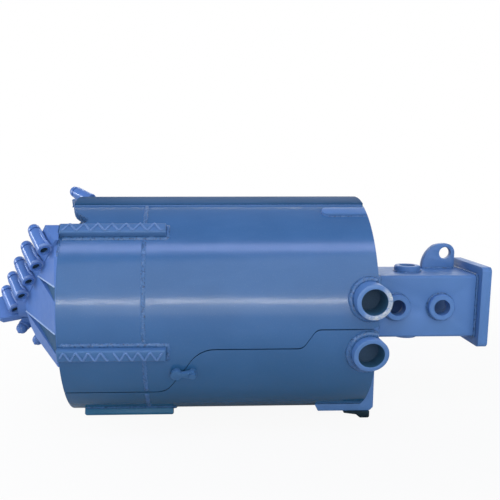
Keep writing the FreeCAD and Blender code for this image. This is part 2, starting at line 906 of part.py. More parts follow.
# inner bottom with two spoil openings, each closed from inside by a flap
def bottom_plate():
    x0, x1 = bottom_plate_start, bottom_plate_back
    disc = rod(ring_inner - seat_gap, Vector(x0, 0, 0), Vector(x1, 0, 0))
    loose = pipe(big, ring_inner - bottom_clearance, Vector(x0 - 1.0, 0, 0), Vector(x1 + 1.0, 0, 0))
    lower = block(x0 - 1.0, x1 + 1.0, -big, big, -big, split_z - step_drop - sweep_drop + bottom_clearance)
    disc = disc.cut(loose.common(lower))
    gap = rolled(opening_inner, shell_radius, 90.0 - opening_half, 90.0 + opening_half, x0 - 1.0, x1 + 1.0)
    save("bottom_plate", disc.cut(gap).cut(half_turned(gap)))


def flap_frame():
    """start and direction of the flap hinge, along the far side of the upper opening"""
    angle = 90.0 + opening_half
    aside = onward(angle) * flap_axis_offset
    height = bottom_plate_back + flap_axis_height
    return angle, aside, height


def flap_rod(radius, start, end):
    angle, aside, height = flap_frame()
    return rod(radius, around(start, angle, height) + aside, around(end, angle, height) + aside)


def flap_block(start, end, back, front, low, high):
    """a box along the hinge line: distances along, across and above the bottom plate"""
    angle, aside, height = flap_frame()
    corners = [(start, back), (end, back), (end, front), (start, front)]
    points = [around(reach, angle, low) + aside - onward(angle) * across for reach, across in corners]
    return prism(points, Vector(high - low, 0, 0))


def flaps():
    x0 = bottom_plate_back + seat_gap
    x1 = x0 + flap_thickness
    spans = []
    reach = flap_hinge_start
    lugs = []
    for count in range(3):
        lugs.append((reach, reach + flap_lug_thickness))
        reach += flap_lug_thickness
        if count < 2:
            spans.append((reach + flap_side_gap, reach + flap_side_gap + flap_knuckle_length))
            reach += flap_knuckle_length + 2.0 * flap_side_gap
    plate = rolled(opening_inner - flap_lap, flap_outer,
                   90.0 - opening_half - flap_lap_angle, 90.0 + opening_half, x0, x1)
    plate = plate.fuse(flap_block(spans[0][0], spans[-1][1], 0.0, flap_axis_offset + 4.0, x0, x1))
    bore = flap_rod(flap_pin_radius + running_gap, 0.0, shell_radius)
    for start, end in lugs:
        plate = plate.cut(flap_block(start - flap_side_gap, end + flap_side_gap,
                                     -knuckle_radius - 6.0, knuckle_radius + 3.0, 0.0, 3.0 * knuckle_radius))
    for start, end in spans:
        plate = plate.fuse(flap_rod(knuckle_radius, start, end))
    plate = largest(plate.cut(bore).removeSplitter())
    mounts = []
    for start, end in lugs:
        lug = flap_block(start, end, -knuckle_radius, knuckle_radius,
                         bottom_plate_back, bottom_plate_back + flap_axis_height)
        lug = lug.fuse(flap_rod(knuckle_radius, start, end)).cut(bore)
        lug = lug.cut(block(-big, bottom_plate_back, -big, big, -big, big))
        mounts.append(largest(lug.removeSplitter()))
    pin = flap_rod(flap_pin_radius, lugs[0][0] - 3.0, lugs[-1][1] + 3.0)
    save("flap_upper", plate)
    save("flap_lower", half_turned(plate))
    save("flap_hinge_lugs", *(mounts + [half_turned(lug) for lug in mounts]))
    save("flap_hinge_pins", pin, half_turned(pin))


# dogs: each turns on a pivot in the lower half and rests its round head on a pad on the upper half
def dog_prism(points, low, high):
    """an outline in x and tangent, on the -y side, pushed outwards and turned to its place"""
    lifted = [Vector(x, -low, tangent) for x, tangent in points]
    return turned(prism(lifted, Vector(0, low - high, 0)), dog_angle)


def dog_rod(radius, x, low, high):
    return rod(radius, around(low, dog_angle, x), around(high, dog_angle, x))


def dogs():
    base = shell_radius + dog_pad + 2.0 * seat_gap
    top = base + dog_thickness
    cap = top + seat_gap
    r = dog_head_radius
    neck = 0.42 * r
    leaf = 0.72 * r
    pivot_x = dog_x + dog_reach
    end_x = pivot_x + leaf
    bar = dog_prism([
        (dog_x, -neck),
        (dog_x + 1.2 * r, -neck),
        (pivot_x - 0.9 * leaf, -leaf),
        (pivot_x + 0.4 * leaf, -leaf),
        (end_x, -0.2 * leaf),
        (pivot_x + 0.4 * leaf, 0.9 * leaf),
        (pivot_x - 0.9 * leaf, 0.9 * leaf),
        (dog_x + 1.2 * r, neck),
        (dog_x, neck),
    ], base, top)
    leaf_body = dog_rod(r, dog_x, base, top).fuse(bar).removeSplitter()
    leaf_body = leaf_body.cut(dog_rod(dog_pivot_radius + running_gap, pivot_x, 0.9 * base, cap))
    skin = pipe(shell_radius + dog_pad, shell_radius + seat_gap, ORIGIN, Vector(shell_length, 0, 0))
    washer = dog_rod(1.6 * dog_pivot_radius, pivot_x, 0.9 * base, top).common(skin)
    pivot = dog_rod(dog_pivot_radius, pivot_x, shell_radius + seat_gap, cap)
    pivot = pivot.fuse(dog_rod(1.4 * dog_pivot_radius, pivot_x, cap, cap + dog_cap)).fuse(washer)
    pad = dog_rod(0.8 * r, dog_x, 0.9 * base, top).common(skin)
    save("dog_near", leaf_body)
    save("dog_far", mirrored(leaf_body))
    save("dog_pivots", pivot, mirrored(pivot))
    save("dog_seats", pad, mirrored(pad))


# brackets and feet keep the drive end off the ground
def brackets():
    y0 = -bracket_y - 0.5 * bracket_thickness
    end_x = shell_length + bracket_overhang
    outline = [
        Vector(bracket_start, y0, bracket_bottom + 2.0 * bracket_slant),
        Vector(bracket_start + bracket_slant, y0, bracket_bottom),
        Vector(end_x - bracket_corner, y0, bracket_bottom),
        Vector(end_x, y0, bracket_bottom + bracket_corner),
        Vector(end_x, y0, bracket_top),
        Vector(shell_length - 2.0 * shell_wall, y0, bracket_top),
    ]
    plate = prism(outline, Vector(0, bracket_thickness, 0))
    shell = pipe(shell_radius + seat_gap, inner_radius - seat_gap, Vector(-1.0, 0, 0),
                 Vector(shell_length + seat_gap, 0, 0))
    plate = plate.cut(shell)
    inside = rod(inner_radius, ORIGIN, Vector(shell_length - end_plate_inset + seat_gap, 0, 0))
    plate = plate.cut(inside)
    plate = largest(plate)
    foot_x1 = end_x - foot_back
    foot_x0 = foot_x1 - foot_length
    foot_y = -bracket_y - 0.5 * foot_width
    foot_z = 0.5 * (bracket_bottom + ground_z)
    foot = prism([
        Vector(foot_x0, foot_y, bracket_bottom),
        Vector(foot_x1, foot_y, bracket_bottom),
        Vector(foot_x1, foot_y, ground_z + foot_chamfer),
        Vector(foot_x1 - foot_chamfer, foot_y, ground_z),
        Vector(foot_x1 - 0.36 * foot_length, foot_y, ground_z),
        Vector(foot_x1 - 0.52 * foot_length, foot_y, foot_z),
        Vector(foot_x0, foot_y, 0.5 * (foot_z + bracket_bottom)),
    ], Vector(0, foot_width, 0))
    foot = foot.cut(rod(shell_radius + seat_gap, Vector(-1.0, 0, 0), Vector(shell_length + seat_gap, 0, 0)))
    foot = largest(foot)
    save("end_brackets", plate, mirrored(plate))
    save("bracket_feet", foot, mirrored(foot))


os.makedirs("parts", exist_ok=True)
shell_parts()
crown_and_pad()
wear_strips()
hinges()
thrust_washers()
pin_keepers()
drive_head()
lifting_lug()
end_plates()
cutting_head()
pilot_plate()
bottom_plate()
flaps()
dogs()
brackets()
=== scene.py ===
import json
import math

import bmesh
import bpy
from mathutils import Matrix, Vector

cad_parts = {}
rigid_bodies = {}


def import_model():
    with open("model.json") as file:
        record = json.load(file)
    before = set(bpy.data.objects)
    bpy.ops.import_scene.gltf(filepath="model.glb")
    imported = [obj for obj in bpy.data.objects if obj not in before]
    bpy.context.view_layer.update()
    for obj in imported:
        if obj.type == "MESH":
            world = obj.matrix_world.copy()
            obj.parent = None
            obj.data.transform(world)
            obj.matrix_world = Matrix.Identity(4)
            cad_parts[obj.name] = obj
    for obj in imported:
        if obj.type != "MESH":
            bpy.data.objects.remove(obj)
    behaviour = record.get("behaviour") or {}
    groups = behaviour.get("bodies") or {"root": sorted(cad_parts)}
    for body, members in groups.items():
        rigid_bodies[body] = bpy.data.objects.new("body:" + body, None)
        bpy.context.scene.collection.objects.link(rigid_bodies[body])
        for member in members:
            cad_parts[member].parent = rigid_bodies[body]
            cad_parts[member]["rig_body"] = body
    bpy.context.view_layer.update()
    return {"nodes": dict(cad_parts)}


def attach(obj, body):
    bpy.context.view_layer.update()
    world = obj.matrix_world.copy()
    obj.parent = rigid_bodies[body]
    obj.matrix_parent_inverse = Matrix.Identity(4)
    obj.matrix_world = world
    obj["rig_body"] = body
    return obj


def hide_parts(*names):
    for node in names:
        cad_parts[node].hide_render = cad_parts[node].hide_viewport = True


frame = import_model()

# sizes repeated from the part's source, in millimetres from the cutting rim
drive_pin_x = 1512.5
shell_radius = 440.0
shell_length = 1173.0
ring_length = 312.0
split_seat_z = -280.0
hinge_x = 1140.0
hinge_z = {"upper": 93.0, "lower": -107.0}
tube_radius = 65.0
tube_bore = 47.55
tube_mouth = 488.0
upper_strip_span = (0.0, 394.0)
lower_strip_span = (48.0, 408.0)
strip_half = 23.0
strip_reach = 470.0
box_corner = 12.0
upper_strips = (48.0, -13.0, 132.0, 193.0)
lower_strips = (-68.0, -112.0)
crown_start = 26.0
crown_edges = (72.0, 108.0)
pad_angle = 63.0
pad_start = 995.0
pad_length = 171.0
pad_half = 23.0
box_start = 1257.0
box_half = 130.0
flange_start = 1665.5
boss_radius = 54.0
boss_places = (1329.0, 1512.5)
upright_boss_x = 1410.0
lug_span = (1500.0, 1641.0)
lug_faces = (70.0, 100.0)
cheek_faces = (100.0, 140.0)
head_plate_x = 1237.0
arm_angle = 46.0
attack_angle = 27.0
ground_z = -444.39
near_teeth = 5
far_teeth = 4
row_start = 412.0
row_pitch = 98.0
row_offset = -48.0
row_sink = 23.0
head_slope = 0.5
head_start = -20.0
holder_radius = 26.0
bore_radius = 15.0
rim_lip = 4.0
recess_depth = 24.0
recesses = (((255.0, 36.0), 19.0, 12.0), ((82.0, -12.0), -3.3, -14.3))
ramp_length = 85.0
ramp_rise = 30.0
ramp_sink = 18.0
notch_edge = ((90.0, 58.0), (74.0, 59.8), (60.7, 61.4), (46.0, 63.4), (38.6, 65.0), (31.0, 68.8),
              (25.8, 73.0), (18.0, 78.0), (11.0, 83.0))

# weld beads as half width and height, and hardfacing waves as pitch and first crest, in millimetres
strip_bead = (10.0, 5.5)
wave_bead = (4.4, 4.2)
wave_swing = 12.0
wave_margin = 12.0
wide_wave = (52.0, 25.0)
close_wave = (44.5, 16.0)
wave_stop = (187.0, 206.0)
seam_bead = (8.0, 2.6)
crown_bead = (3.4, 4.2)
pad_bead = (4.2, 3.4)
tube_beads = {"upper": (12.0, 10.0), "lower": (14.0, 10.0)}
notch_bead = (3.6, 3.4)
notch_depths = (443.0, 438.0, 432.0, 426.0, 420.0, 414.0)
boss_bead = (4.5, 4.5)
box_bead = (6.0, 5.0)
flange_bead = (6.0, 6.0)
plate_bead = (5.0, 5.0)
ramp_bead = (7.0, 6.5)
collar_bead = (6.0, 5.5)
recess_bead = (3.4, 3.0)
corner_bead = (4.6, 12.0)
cheek_weld_reach = 118.0
recess_proud = 1.2


def at(x, y, z):
    """A point given in millimetres from the rim, in the frame's metres."""
    return Vector(((x - drive_pin_x) * 0.001, y * 0.001, z * 0.001))


def outward(degrees):
    angle = math.radians(degrees)
    return Vector((0.0, -math.cos(angle), math.sin(angle)))


def onward(degrees):
    angle = math.radians(degrees)
    return Vector((0.0, math.sin(angle), math.cos(angle)))


def on_shell(x, degrees, radius=shell_radius):
    return at(x, 0.0, 0.0) + outward(degrees) * (radius * 0.001)


# materials
def colour(red, green, blue):
    """A colour read off the object in 0 to 255, made linear."""
    return tuple((c / 255.0 / 12.92) if c <= 10 else ((c / 255.0 + 0.055) / 1.055) ** 2.4
                 for c in (red, green, blue)) + (1.0,)


class Finish:
    """Builds one node material step by step."""

    def __init__(self, name, roughness, metallic=0.0, coat=0.0, gloss=0.5):
        self.material = bpy.data.materials.new(name)
        self.material.use_nodes = True
        self.nodes = self.material.node_tree.nodes
        self.links = self.material.node_tree.links
        self.shader = self.nodes["Principled BSDF"]
        self.shader.inputs["Roughness"].default_value = roughness
        self.shader.inputs["Metallic"].default_value = metallic
        self.shader.inputs["Coat Weight"].default_value = coat
        self.shader.inputs["Specular IOR Level"].default_value = gloss
        self.shader.inputs["Coat Roughness"].default_value = 0.2
        self.place = self.nodes.new("ShaderNodeTexCoord").outputs["Object"]

    def noise(self, scale, detail=3.0, rough=0.55, stretch=None):
        node = self.nodes.new("ShaderNodeTexNoise")
        node.inputs["Scale"].default_value = scale
        node.inputs["Detail"].default_value = detail
        node.inputs["Roughness"].default_value = rough
        if stretch:
            mapping = self.nodes.new("ShaderNodeMapping")
            mapping.inputs["Scale"].default_value = stretch
            self.links.new(self.place, mapping.inputs["Vector"])
            self.links.new(mapping.outputs["Vector"], node.inputs["Vector"])
        else:
            self.links.new(self.place, node.inputs["Vector"])
        return node.outputs["Fac"]

    def levels(self, value, low, high, start=0.0, end=1.0):
        node = self.nodes.new("ShaderNodeMapRange")
        node.inputs["From Min"].default_value = low
        node.inputs["From Max"].default_value = high
        node.inputs["To Min"].default_value = start
        node.inputs["To Max"].default_value = end
        self.links.new(value, node.inputs["Value"])
        return node.outputs["Result"]

    def axis(self, name):
        node = self.nodes.new("ShaderNodeSeparateXYZ")
        self.links.new(self.place, node.inputs["Vector"])
        return node.outputs[name]

    def maths(self, operation, first, second=None):
        node = self.nodes.new("ShaderNodeMath")
        node.operation = operation
        for socket, value in zip(node.inputs, (first, second)):
            if value is None:
                continue
            if isinstance(value, float):
                socket.default_value = value
            else:
                self.links.new(value, socket)
        return node.outputs["Value"]

    def blend(self, amount, first, second):
        """A mix of two colours, each a plain colour or a socket."""
        node = self.nodes.new("ShaderNodeMix")
        node.data_type = "RGBA"
        self.links.new(amount, node.inputs["Factor"])
        for socket, value in ((node.inputs["A"], first), (node.inputs["B"], second)):
            if isinstance(value, tuple):
                socket.default_value = value
            else:
                self.links.new(value, socket)
        return node.outputs["Result"]

    def bump(self, height, strength, depth, before=None):
        node = self.nodes.new("ShaderNodeBump")
        node.inputs["Strength"].default_value = strength
        node.inputs["Distance"].default_value = depth
        self.links.new(height, node.inputs["Height"])
        if before is not None:
            self.links.new(before, node.inputs["Normal"])
        return node.outputs["Normal"]

    def done(self, tint, normal=None, roughness=None):
        self.links.new(tint, self.shader.inputs["Base Color"])
        if normal is not None:
            self.links.new(normal, self.shader.inputs["Normal"])
        if roughness is not None:
            self.links.new(roughness, self.shader.inputs["Roughness"])
        return self.material


paint_mid = colour(62, 107, 159)
paint_deep = colour(56, 100, 150)
paint_pale = colour(104, 140, 192)
# dark teal painted shade, blended in towards the underside
underside_shade_tint = colour(8, 82, 116)
# paler tints for the blocks and hinge tubes: painted light, brighter than the plate paint
block_lit_tints = (colour(83, 123, 176), colour(91, 132, 190))
strip_tints = (colour(73, 111, 158), colour(80, 120, 171))
head_tints = (colour(80, 118, 180), colour(88, 127, 194))
# pale tints for a painted highlight along the seam beads
seam_highlight_tints = (colour(146, 172, 212), colour(172, 196, 228))
dust = colour(178, 196, 222)
bare = colour(206, 210, 208)


def shell_paint(name, waviness, speckle, rough_low=0.34, rough_high=0.5, shade_start=None, gloss=0.5,
                tints=None):
    """Semi-gloss blue sprayed over plate: faint cloudiness, dust specks and plate waviness.
    Where a start height is given, the colour darkens to dark teal below it towards the underside: painted
    shade."""
    finish = Finish(name, 0.42, gloss=gloss)
    cloud = finish.levels(finish.noise(2.6, 4.0), 0.35, 0.68)
    deep, mid = tints or (paint_deep, paint_mid)
    tint = finish.blend(cloud, deep, mid)
    thin = finish.levels(finish.noise(9.0, 5.0, 0.65, (0.35, 1.0, 1.0)), 0.52, 0.78, 0.0, 0.1)
    tint = finish.blend(thin, tint, paint_pale)
    specks = finish.levels(finish.noise(330.0, 2.0), 0.6, 0.72, 0.0, speckle)
    tint = finish.blend(specks, tint, dust)
    # painted shade: darker and greener below the start height, down to the bottom
    if shade_start is not None:
        underside_shade = finish.levels(finish.axis("Z"), shade_start, -0.44)
        underside_shade = finish.maths("POWER", underside_shade, 1.3)
        tint = finish.blend(underside_shade, tint, underside_shade_tint)
    roughness = finish.levels(finish.noise(34.0, 4.0), 0.3, 0.7, rough_low, rough_high)
    normal = finish.bump(finish.noise(5.0, 2.0), 0.35, waviness)
    normal = finish.bump(finish.noise(115.0, 3.0), 0.2, 0.0005, normal)
    return finish.done(tint, normal, roughness)


def weld_paint(name):
    """The same paint over weld metal: ripples, dark pores and bright spatter."""
    finish = Finish(name, 0.4, coat=0.2)
    pores = finish.levels(finish.noise(120.0, 3.0), 0.32, 0.5)
    tint = finish.blend(pores, colour(34, 66, 104), paint_mid)
    spatter = finish.levels(finish.noise(85.0, 3.0, 0.65), 0.56, 0.7, 0.0, 0.4)
    tint = finish.blend(spatter, tint, colour(132, 160, 202))
    normal = finish.bump(finish.noise(190.0, 3.0), 0.6, 0.002)
    return finish.done(tint, normal)


def mouth_paint(half_name, scuff_depth, strength):
    """Tube paint, darker teal within the bore as painted shade; the mouth face is scuffed bare towards the
    drive end.
    """
    name = half_name + "_mouth_paint"
    height = hinge_z[half_name] * 0.001
    low = (tube_mouth - scuff_depth) * 0.001
    high = (tube_mouth - 1.2) * 0.001
    finish = Finish(name, 0.45)
    cloud = finish.levels(finish.noise(7.0, 4.0), 0.35, 0.65)
    tint = finish.blend(cloud, *block_lit_tints)
    reach = finish.maths("ABSOLUTE", finish.axis("Y"))
    face = finish.levels(reach, low, high)
    patchy = finish.levels(finish.noise(75.0, 5.0, 0.75), 0.36, 0.6, 0.1, 1.0)
    ahead = finish.maths("SUBTRACT", finish.axis("X"), (hinge_x - drive_pin_x) * 0.001)
    rise = finish.maths("SUBTRACT", finish.axis("Z"), height)
    below = finish.maths("MULTIPLY", rise, -0.7)
    rubbed = finish.levels(finish.maths("ADD", ahead, below), -0.01, 0.035, 0.0, 1.0)
    worn = finish.maths("MULTIPLY", finish.maths("MULTIPLY", face, patchy), strength)
    worn = finish.maths("MULTIPLY", worn, rubbed)
    aside = finish.maths("POWER", ahead, 2.0)
    above = finish.maths("POWER", rise, 2.0)
    radius = finish.maths("SQRT", finish.maths("ADD", aside, above))
    edge = tube_bore * 0.001 + 0.0004
    # painted shade: dark teal inside the bore's radius
    bore_shade = finish.levels(radius, edge, edge + 0.0008, 1.0, 0.0)
    tint = finish.blend(bore_shade, tint, colour(52, 94, 126))
    worn = finish.maths("MULTIPLY", worn, finish.maths("SUBTRACT", 1.0, bore_shade))
    tint = finish.blend(worn, tint, bare)
    roughness = finish.levels(worn, 0.0, 1.0, 0.42, 0.7)
    normal = finish.bump(finish.noise(180.0, 3.0), 0.25, 0.001)
    return finish.done(tint, normal, roughness)


def metal(name, dark, light, roughness, scale, depth):
    """Bare metal with a cloudy tint and fine tool marks."""
    finish = Finish(name, roughness, metallic=1.0)
    cloud = finish.levels(finish.noise(scale, 5.0, 0.6), 0.32, 0.68)
    tint = finish.blend(cloud, dark, light)
    rough = finish.levels(finish.noise(scale * 4.0, 3.0), 0.3, 0.7, roughness * 0.75, roughness * 1.3)
    normal = finish.bump(finish.noise(scale * 9.0, 3.0), 0.3, depth)
    return finish.done(tint, normal, rough)


def crown_shade_coat(name):
    """The crown strip's flat top, dull and painted darker than the rolled plate: painted shade on the
    up-facing top.
    """
    finish = Finish(name, 0.6, gloss=0.05)
    cloud = finish.levels(finish.noise(6.0, 4.0, 0.6, (0.3, 1.0, 1.0)), 0.35, 0.68)
    tint = finish.blend(cloud, colour(42, 80, 116), colour(56, 94, 134))
    normal = finish.bump(finish.noise(240.0, 3.0), 0.2, 0.0008)
    return finish.done(tint, normal)


def near_black_shade_coat(name):
    """Near-black coat with a cloudy tone and fine bumps: painted shade on the feet and in the holders' bores.
    """
    finish = Finish(name, 0.6, gloss=0.2)
    cloud = finish.levels(finish.noise(20.0, 4.0), 0.3, 0.7)
    tint = finish.blend(cloud, colour(10, 28, 38), colour(30, 56, 70))
    normal = finish.bump(finish.noise(150.0, 4.0), 0.4, 0.0012)
    return finish.done(tint, normal)


def shadow_paint(name):
    """Darker paint inside the bucket, with a cloudy tone and fine bumps: painted shade."""
    finish = Finish(name, 0.6)
    cloud = finish.levels(finish.noise(5.0, 5.0, 0.65), 0.35, 0.68)
    tint = finish.blend(cloud, colour(38, 66, 98), paint_deep)
    normal = finish.bump(finish.noise(90.0, 4.0), 0.3, 0.0012)
    return finish.done(tint, normal)


# the rolled plate and the strip paint carry the painted underside shade
plate_paint = shell_paint("rolled_plate_paint", 0.0035, 0.06, 0.15, 0.21, 0.02, gloss=0.55)
# block paint in the paler tints: painted light
lit_block_paint = shell_paint("lit_block_paint", 0.003, 0.1, 0.36, 0.5, gloss=0.3, tints=block_lit_tints)
head_paint = shell_paint("cutting_head_paint", 0.001, 0.05, 0.38, 0.48, gloss=0.4, tints=head_tints)
holder_paint = shell_paint("tooth_holder_paint", 0.001, 0.05, 0.2, 0.28, gloss=0.5, tints=head_tints)
strip_paint = shell_paint("strip_paint", 0.003, 0.12, 0.34, 0.5, 0.0, gloss=0.3, tints=strip_tints)
# lower wear strips painted dark teal: painted shade, as they sit on the underside
lower_strip_shade_paint = shell_paint("lower_strip_shade_paint", 0.003, 0.12, 0.4, 0.5, gloss=0.3,
                                tints=(colour(40, 102, 140), colour(48, 112, 152)))
# dark paint for the sheets over the head's recesses: painted shade
recess_shade_paint = shell_paint("recess_shade_paint", 0.002, 0.05, 0.5, 0.6, gloss=0.2,
                           tints=(colour(38, 82, 118), colour(46, 92, 130)))
# pale paint on the recess seam beads: painted highlight along the plate edges
seam_highlight_paint = shell_paint("painted_highlight_seam_paint", 0.001, 0.3, 0.3, 0.5, tints=seam_highlight_tints)
bead_paint = weld_paint("weld_bead_paint")
# hardfacing beads painted lighter than the strips: painted highlight along the bead ridges
hardfacing_highlight_paint = shell_paint("hardfacing_highlight_paint", 0.001, 0.1, 0.26, 0.36,
                               tints=(colour(82, 119, 169), colour(100, 136, 189)))
# holder welds painted paler than the head: painted highlight on the bead sides
holder_weld_highlight_paint = shell_paint("holder_weld_highlight_paint", 0.001, 0.3, 0.22, 0.34, gloss=0.5,
                                tints=(colour(84, 120, 180), colour(128, 156, 208)))
upper_mouth = mouth_paint("upper", 4.5, 1.0)
lower_mouth = mouth_paint("lower", 8.0, 0.25)
inner_shade_paint = shadow_paint("inner_shade_paint")
# feet painted near black: painted shade under the brackets
foot_shade_paint = near_black_shade_coat("foot_shade_paint")
crown_shade_paint = crown_shade_coat("crown_shade_paint")
# the pin ends' blue paint, painted darker as the shade inside the hinge tubes
pin_shade_paint = shell_paint("pin_end_shade_paint", 0.002, 0.1, 0.5, 0.6, gloss=0.3,
                        tints=(colour(48, 74, 100), colour(56, 84, 114)))
# near-black coat for the plugs in the holders' bores: painted shade
bore_shade_material = near_black_shade_coat("bore_shade_coat")
pin_metal = metal("pin_steel", colour(70, 82, 96), colour(140, 150, 160), 0.38, 22.0, 0.0005)
washer_metal = metal("bronze", colour(120, 86, 44), colour(186, 142, 84), 0.35, 26.0, 0.0004)
tip_metal = shell_paint("tooth_paint", 0.001, 0.1, 0.22, 0.32, tints=head_tints)

# the paint of each node; what isn't named here has the block paint, whose paler tints are painted light
node_paint = {}
for paint, names in (
        (head_paint, ("head_plates_near", "head_plates_far", "arm_bar_near", "arm_bar_far", "centre_hub",
                      "pilot_plate")),
        (holder_paint, ("tooth_holders_near", "tooth_holders_far", "gauge_holder")),
        (plate_paint, ("upper_shell_wall", "upper_cutting_ring", "lower_shell_wall", "lower_cutting_ring")),
        (inner_shade_paint, ("bottom_plate", "flap_hinge_lugs", "flap_upper", "flap_lower", "upper_end_plate",
                       "lower_end_plate")),
        (strip_paint, ("dog_near", "dog_far", "dog_pivots", "dog_seats", "upper_wear_strips")),
        (lower_strip_shade_paint, ("lower_wear_strips",)),
        (crown_shade_paint, ("crown_strip",)),
        (upper_mouth, ("upper_hinge_tubes",)),
        (lower_mouth, ("lower_hinge_tubes",)),
        (foot_shade_paint, ("bracket_feet",)),
        (pin_shade_paint, ("upper_hinge_pin", "lower_hinge_pin")),
        (washer_metal, ("thrust_washers",)),
        (pin_metal, ("keeper_bolts", "flap_hinge_pins"))):
    node_paint.update(dict.fromkeys(names, paint))


def coat(piece, material):
    piece.data.materials.clear()
    piece.data.materials.append(material)


for name, node in frame["nodes"].items():
    if name.startswith(("tooth_near", "tooth_far", "gauge_tooth")):
        coat(node, tip_metal)
    else:
        coat(node, node_paint.get(name, lit_block_paint))


# building pieces
def piece_from(bm, name, body, material, smooth_angle=35.0):
    """Makes a mesh a piece that rides on a body; edges under the angle are shaded smooth."""
    bm.normal_update()
    for edge in bm.edges:
        if len(edge.link_faces) == 2:
            edge.smooth = edge.calc_face_angle(0.0) < math.radians(smooth_angle)
    for face in bm.faces:
        face.smooth = True
    mesh = bpy.data.meshes.new(name)
    bm.to_mesh(mesh)
    bm.free()
    piece = bpy.data.objects.new(name, mesh)
    bpy.context.scene.collection.objects.link(piece)
    mesh.materials.append(material)
    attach(piece, body)
    return piece


def rounded_copy(node, width, segments=2, sharp=35.0):
    """A copy of a CAD node with its sharp edges broken, as ground plate edges are."""
    bm = bmesh.new()
    bm.from_mesh(frame["nodes"][node].data)
    bmesh.ops.remove_doubles(bm, verts=bm.verts, dist=0.00002)
    bmesh.ops.dissolve_limit(bm, angle_limit=math.radians(0.4), verts=bm.verts, edges=bm.edges,
                             use_dissolve_boundaries=False)
    edges = [edge for edge in bm.edges
             if len(edge.link_faces) == 2 and edge.calc_face_angle(0.0) > math.radians(sharp)]
    bmesh.ops.bevel(bm, geom=edges, offset=width * 0.001, offset_type="OFFSET", segments=segments,
                    profile=0.5, affect="EDGES", clamp_overlap=True, material=-1)
    body = frame["nodes"][node]["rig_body"]
    piece = piece_from(bm, node + "_rounded", body, node_paint.get(node, lit_block_paint))
    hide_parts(node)


def paced(points, step):
    """Points along a line of straight runs, a step apart."""
    out = [points[0]]
    for start, end in zip(points, points[1:]):
        count = max(1, round((end - start).length / step))
        for k in range(1, count + 1):
            out.append(start.lerp(end, k / count))
    return out


def bead(bm, path, normals, width, height, closed=False, sides=8, uneven=0.09):
    """Lays one weld bead along a path; each station is a ripple, a little wider or narrower."""
    count = len(path)
    width *= 0.001
    height *= 0.001

    def station(k):
        here = path[k % count]
        before = path[(k - 1) % count] if closed or k > 0 else here
        after = path[(k + 1) % count] if closed or k < count - 1 else here
        way = (after - before).normalized()
        up = normals[k % count]
        up = (up - way * up.dot(way)).normalized()
        aside = way.cross(up)
        ripple = 1.0 + uneven * (math.sin(2.4 * k) + 0.6 * math.sin(0.7 * k + 1.0))
        if not closed and k in (0, count - 1):
            ripple *= 0.45
        turn = Matrix((aside * width * ripple, up * height * ripple, way)).transposed().to_4x4()
        return Matrix.Translation(here) @ turn

    made = bmesh.ops.create_circle(bm, cap_ends=False, segments=sides, radius=1.0)
    ring = made["verts"]
    first_edges = list({edge for vert in ring for edge in vert.link_edges})
    frame_now = station(0)
    bmesh.ops.transform(bm, matrix=frame_now, verts=ring)
    edges = first_edges
    for k in range(1, count):
        grown = bmesh.ops.extrude_edge_only(bm, edges=edges)["geom"]
        ring = [item for item in grown if isinstance(item, bmesh.types.BMVert)]
        edges = [item for item in grown if isinstance(item, bmesh.types.BMEdge)
                 and item.verts[0] in ring and item.verts[1] in ring]
        frame_next = station(k)
        bmesh.ops.transform(bm, matrix=frame_next @ frame_now.inverted(), verts=ring)
        frame_now = frame_next
    if closed:
        bmesh.ops.bridge_loops(bm, edges=first_edges + edges)
    else:
        bmesh.ops.edgeloop_fill(bm, edges=first_edges)
        bmesh.ops.edgeloop_fill(bm, edges=edges)


def finish_beads(bm, name, body, material=bead_paint):
    bmesh.ops.recalc_face_normals(bm, faces=bm.faces)
    piece_from(bm, name, body, material, 60.0)


def shell_line(bm, corners, size, closed=False, uneven=0.09, radius=shell_radius, step=6.0):
    """A bead on the shell through corners given as (x, degrees)."""
    flat = [Vector((x, math.radians(degrees) * radius, 0.0)) for x, degrees in corners]
    if closed:
        flat.append(flat[0])
    spots = paced(flat, step)
    if closed:
        spots.pop()
    angles = [math.degrees(spot.y / radius) for spot in spots]
    path = [on_shell(spot.x, angle, radius) for spot, angle in zip(spots, angles)]
    bead(bm, path, [outward(angle) for angle in angles], *size, closed, uneven=uneven)


def strip_welds(bm, degrees, span):
    """Fillets down both sides and across the inner end of a wear strip."""
    start, end = span
    lean = math.degrees(math.asin((strip_half + 4.0) / shell_radius))
    shell_line(bm, [(start + 6.0, degrees - lean), (end + 4.0, degrees - lean),
                    (end + 4.0, degrees + lean), (start + 6.0, degrees + lean)], strip_bead, uneven=0.16)


def strip_wave(bm, degrees, span, wave, gap=None):
    """Hardfacing laid to and fro across the strip's worn face; it may stop and start again."""
    pitch, phase = wave
    face = strip_reach + 0.6
    start, end = span[0] + wave_margin, span[1] - wave_margin
    parts = [(start, end)] if gap is None else [(start, gap[0]), (gap[1], end)]
    for first, last in parts:
        path = []
        steps = round((last - first) / 3.5)
        for k in range(steps + 1):
            x = first + (last - first) * k / steps
            side = wave_swing * math.asin(0.97 * math.sin(2.0 * math.pi * (x - phase) / pitch))
            path.append(at(x, 0, 0) + outward(degrees) * (face * 0.001) + onward(degrees) * (side * 0.001))
        bead(bm, path, [outward(degrees)] * len(path), *wave_bead)


# beads on the upper half
bm = bmesh.new()
for degrees in upper_strips:
    strip_welds(bm, degrees, upper_strip_span)
finish_beads(bm, "upper_strip_welds", "upper_shell")

bm = bmesh.new()
for index in (0, 2):
    strip_wave(bm, upper_strips[index], upper_strip_span, wide_wave)
    strip_wave(bm, upper_strips[index + 1], upper_strip_span, close_wave, wave_stop)
finish_beads(bm, "upper_strip_hardfacing", "upper_shell", material=hardfacing_highlight_paint)

